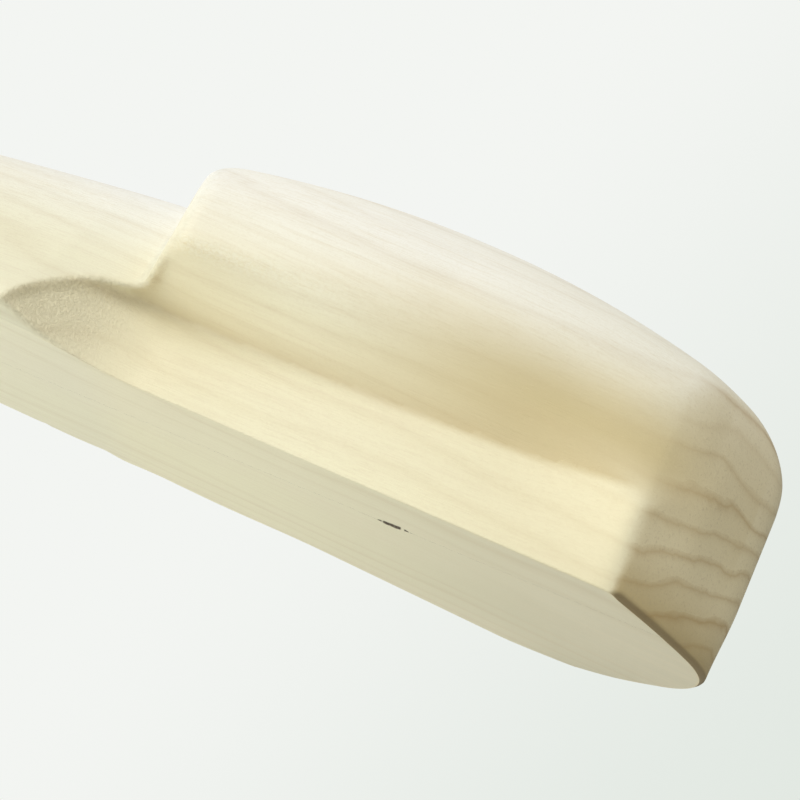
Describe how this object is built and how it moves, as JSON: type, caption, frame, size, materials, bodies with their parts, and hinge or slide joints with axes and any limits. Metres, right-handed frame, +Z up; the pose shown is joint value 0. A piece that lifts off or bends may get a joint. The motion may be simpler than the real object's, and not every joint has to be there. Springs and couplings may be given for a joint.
{
  "type": "wood edge slicker",
  "caption": "Palm-held wooden press and edge slicker: flat sole, blunt wedge nose, domed crown, side finger coves and a long low tail.",
  "frame": {"origin": "middle of the tool's plan rectangle, on the flat sole's plane", "axes": "+X along the grain towards the nose, +Y to the tool's left side, +Z up from the sole"},
  "size_m": [0.15, 0.04, 0.0353],
  "materials": {
    "pale_wood": "sanded, unfinished"
  },
  "bodies": {
    "root": {"slicker_body": "pale_wood"}
  },
  "joints": []
}
